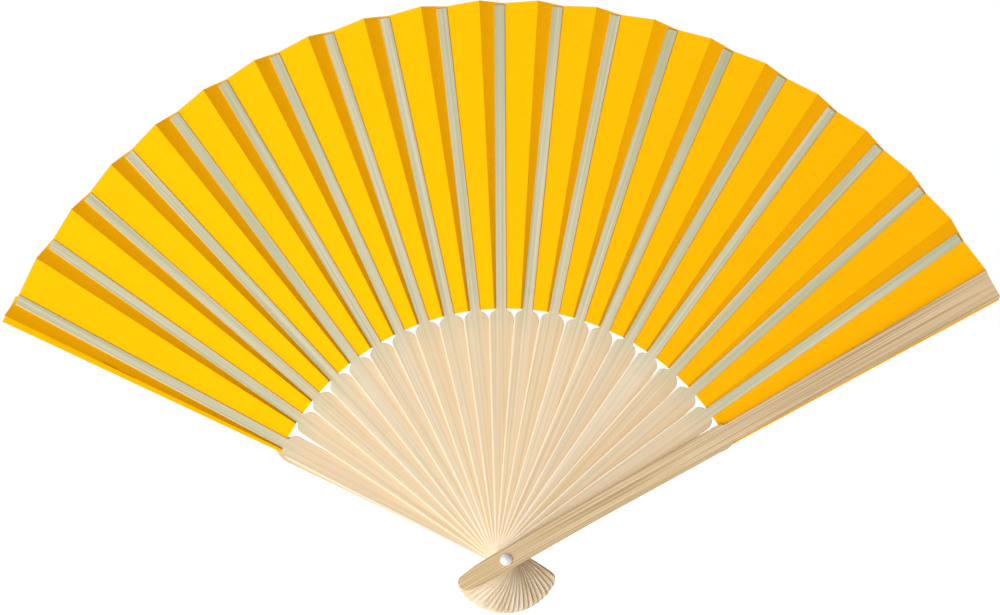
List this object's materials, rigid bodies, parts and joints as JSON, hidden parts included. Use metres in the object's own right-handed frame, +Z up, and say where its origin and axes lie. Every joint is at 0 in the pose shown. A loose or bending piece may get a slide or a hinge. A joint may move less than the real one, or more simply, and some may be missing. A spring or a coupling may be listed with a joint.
{
  "type": "folding hand fan",
  "caption": "Folding hand fan with a pleated yellow paper leaf on bamboo ribs between two guard sticks, all turning on one plastic rivet.",
  "frame": {"origin": "on the rivet's axis, half way through the stack of ribs along Y", "axes": "the open fan stands in the XZ plane: +Z up along the middle rib, +X to the right as seen from the rib side, +Y from the rib side (front guard) to the back of the leaf"},
  "size_m": [0.3754, 0.0278, 0.2306],
  "materials": {
    "rib_bamboo": "split bamboo, straight grain, lightly sanded",
    "guard_bamboo": "bamboo, planed, straight grain",
    "paper_leaf": "matte dyed paper",
    "rivet_plastic": "pearly white plastic"
  },
  "bodies": {
    "rib_01": {"rib_01": "rib_bamboo", "leaf_pleat_01": "paper_leaf"},
    "rib_02": {"rib_02": "rib_bamboo", "leaf_pleat_02": "paper_leaf"},
    "rib_03": {"rib_03": "rib_bamboo", "leaf_pleat_03": "paper_leaf"},
    "rib_04": {"rib_04": "rib_bamboo", "leaf_pleat_04": "paper_leaf"},
    "rib_05": {"rib_05": "rib_bamboo", "leaf_pleat_05": "paper_leaf"},
    "rib_06": {"rib_06": "rib_bamboo", "leaf_pleat_06": "paper_leaf"},
    "rib_07": {"rib_07": "rib_bamboo", "leaf_pleat_07": "paper_leaf"},
    "rib_08": {"rib_08": "rib_bamboo", "leaf_pleat_08": "paper_leaf"},
    "rib_09": {"rib_09": "rib_bamboo", "leaf_pleat_09": "paper_leaf"},
    "rib_10": {"rib_10": "rib_bamboo", "leaf_pleat_10": "paper_leaf"},
    "rib_11": {"rib_11": "rib_bamboo", "leaf_pleat_11": "paper_leaf", "rivet_pin": "rivet_plastic", "rivet_cap": "rivet_plastic"},
    "rib_12": {"rib_12": "rib_bamboo", "leaf_pleat_12": "paper_leaf"},
    "rib_13": {"rib_13": "rib_bamboo", "leaf_pleat_13": "paper_leaf"},
    "rib_14": {"rib_14": "rib_bamboo", "leaf_pleat_14": "paper_leaf"},
    "rib_15": {"rib_15": "rib_bamboo", "leaf_pleat_15": "paper_leaf"},
    "rib_16": {"rib_16": "rib_bamboo", "leaf_pleat_16": "paper_leaf"},
    "rib_17": {"rib_17": "rib_bamboo", "leaf_pleat_17": "paper_leaf"},
    "rib_18": {"rib_18": "rib_bamboo", "leaf_pleat_18": "paper_leaf"},
    "rib_19": {"rib_19": "rib_bamboo", "leaf_pleat_19": "paper_leaf"},
    "rib_20": {"rib_20": "rib_bamboo", "leaf_pleat_20": "paper_leaf"},
    "front_guard": {"front_guard": "guard_bamboo", "leaf_end_panel": "paper_leaf"},
    "back_guard": {"back_guard": "guard_bamboo", "leaf_pleat_00": "paper_leaf"}
  },
  "joints": [
    {"name": "fold_rib_12", "type": "hinge", "parent": "rib_11", "child": "rib_12", "pos_m": [0, 0, 0], "axis": [0, 1, 0], "range_deg": [-6.02, 0], "deforming": ["leaf_pleat_11"]},
    {"name": "fold_rib_13", "type": "hinge", "parent": "rib_12", "child": "rib_13", "pos_m": [0, 0, 0], "axis": [0, 1, 0], "range_deg": [-6.05, 0], "deforming": ["leaf_pleat_12"]},
    {"name": "fold_rib_14", "type": "hinge", "parent": "rib_13", "child": "rib_14", "pos_m": [0, 0, 0], "axis": [0, 1, 0], "range_deg": [-6.08, 0], "deforming": ["leaf_pleat_13"]},
    {"name": "fold_rib_15", "type": "hinge", "parent": "rib_14", "child": "rib_15", "pos_m": [0, 0, 0], "axis": [0, 1, 0], "range_deg": [-6.11, 0], "deforming": ["leaf_pleat_14"]},
    {"name": "fold_rib_16", "type": "hinge", "parent": "rib_15", "child": "rib_16", "pos_m": [0, 0, 0], "axis": [0, 1, 0], "range_deg": [-6.15, 0], "deforming": ["leaf_pleat_15"]},
    {"name": "fold_rib_17", "type": "hinge", "parent": "rib_16", "child": "rib_17", "pos_m": [0, 0, 0], "axis": [0, 1, 0], "range_deg": [-6.18, 0], "deforming": ["leaf_pleat_16"]},
    {"name": "fold_rib_18", "type": "hinge", "parent": "rib_17", "child": "rib_18", "pos_m": [0, 0, 0], "axis": [0, 1, 0], "range_deg": [-6.21, 0], "deforming": ["leaf_pleat_17"]},
    {"name": "fold_rib_19", "type": "hinge", "parent": "rib_18", "child": "rib_19", "pos_m": [0, 0, 0], "axis": [0, 1, 0], "range_deg": [-6.24, 0], "deforming": ["leaf_pleat_18"]},
    {"name": "fold_rib_20", "type": "hinge", "parent": "rib_19", "child": "rib_20", "pos_m": [0, 0, 0], "axis": [0, 1, 0], "range_deg": [-6.25, 0], "deforming": ["leaf_pleat_19"]},
    {"name": "fold_front_guard", "type": "hinge", "parent": "rib_20", "child": "front_guard", "pos_m": [0, 0, 0], "axis": [0, 1, 0], "range_deg": [-6.61, 0], "deforming": ["leaf_pleat_20", "leaf_end_panel"]},
    {"name": "fold_rib_10", "type": "hinge", "parent": "rib_11", "child": "rib_10", "pos_m": [0, 0, 0], "axis": [0, 1, 0], "range_deg": [0, 6.01], "deforming": ["leaf_pleat_10"]},
    {"name": "fold_rib_09", "type": "hinge", "parent": "rib_10", "child": "rib_09", "pos_m": [0, 0, 0], "axis": [0, 1, 0], "range_deg": [0, 6.01], "deforming": ["leaf_pleat_09"]},
    {"name": "fold_rib_08", "type": "hinge", "parent": "rib_09", "child": "rib_08", "pos_m": [0, 0, 0], "axis": [0, 1, 0], "range_deg": [0, 6.01], "deforming": ["leaf_pleat_08"]},
    {"name": "fold_rib_07", "type": "hinge", "parent": "rib_08", "child": "rib_07", "pos_m": [0, 0, 0], "axis": [0, 1, 0], "range_deg": [0, 6.03], "deforming": ["leaf_pleat_07"]},
    {"name": "fold_rib_06", "type": "hinge", "parent": "rib_07", "child": "rib_06", "pos_m": [0, 0, 0], "axis": [0, 1, 0], "range_deg": [0, 6.06], "deforming": ["leaf_pleat_06"]},
    {"name": "fold_rib_05", "type": "hinge", "parent": "rib_06", "child": "rib_05", "pos_m": [0, 0, 0], "axis": [0, 1, 0], "range_deg": [0, 6.09], "deforming": ["leaf_pleat_05"]},
    {"name": "fold_rib_04", "type": "hinge", "parent": "rib_05", "child": "rib_04", "pos_m": [0, 0, 0], "axis": [0, 1, 0], "range_deg": [0, 6.13], "deforming": ["leaf_pleat_04"]},
    {"name": "fold_rib_03", "type": "hinge", "parent": "rib_04", "child": "rib_03", "pos_m": [0, 0, 0], "axis": [0, 1, 0], "range_deg": [0, 6.16], "deforming": ["leaf_pleat_03"]},
    {"name": "fold_rib_02", "type": "hinge", "parent": "rib_03", "child": "rib_02", "pos_m": [0, 0, 0], "axis": [0, 1, 0], "range_deg": [0, 6.2], "deforming": ["leaf_pleat_02"]},
    {"name": "fold_rib_01", "type": "hinge", "parent": "rib_02", "child": "rib_01", "pos_m": [0, 0, 0], "axis": [0, 1, 0], "range_deg": [0, 6.76], "deforming": ["leaf_pleat_01"]},
    {"name": "back_guard_swing", "type": "hinge", "parent": "rib_01", "child": "back_guard", "pos_m": [0, 0, 0], "axis": [0, -1, 0], "range_deg": [-0.44, 5.8], "deforming": ["leaf_pleat_00"]}
  ],
  "couplings": [
    {"joint": "fold_rib_13", "follows": "fold_rib_12", "ratio": 1.0038},
    {"joint": "fold_rib_14", "follows": "fold_rib_12", "ratio": 1.009},
    {"joint": "fold_rib_15", "follows": "fold_rib_12", "ratio": 1.0148},
    {"joint": "fold_rib_16", "follows": "fold_rib_12", "ratio": 1.0208},
    {"joint": "fold_rib_17", "follows": "fold_rib_12", "ratio": 1.0266},
    {"joint": "fold_rib_18", "follows": "fold_rib_12", "ratio": 1.0317},
    {"joint": "fold_rib_19", "follows": "fold_rib_12", "ratio": 1.0355},
    {"joint": "fold_rib_20", "follows": "fold_rib_12", "ratio": 1.0378},
    {"joint": "fold_front_guard", "follows": "fold_rib_12", "ratio": 1.097},
    {"joint": "fold_rib_10", "follows": "fold_rib_12", "ratio": -0.99767},
    {"joint": "fold_rib_09", "follows": "fold_rib_12", "ratio": -0.99717},
    {"joint": "fold_rib_08", "follows": "fold_rib_12", "ratio": -0.9985},
    {"joint": "fold_rib_07", "follows": "fold_rib_12", "ratio": -1.0013},
    {"joint": "fold_rib_06", "follows": "fold_rib_12", "ratio": -1.0058},
    {"joint": "fold_rib_05", "follows": "fold_rib_12", "ratio": -1.0111},
    {"joint": "fold_rib_04", "follows": "fold_rib_12", "ratio": -1.0171},
    {"joint": "fold_rib_03", "follows": "fold_rib_12", "ratio": -1.0232},
    {"joint": "fold_rib_02", "follows": "fold_rib_12", "ratio": -1.0287},
    {"joint": "fold_rib_01", "follows": "fold_rib_12", "ratio": -1.123}
  ]
}
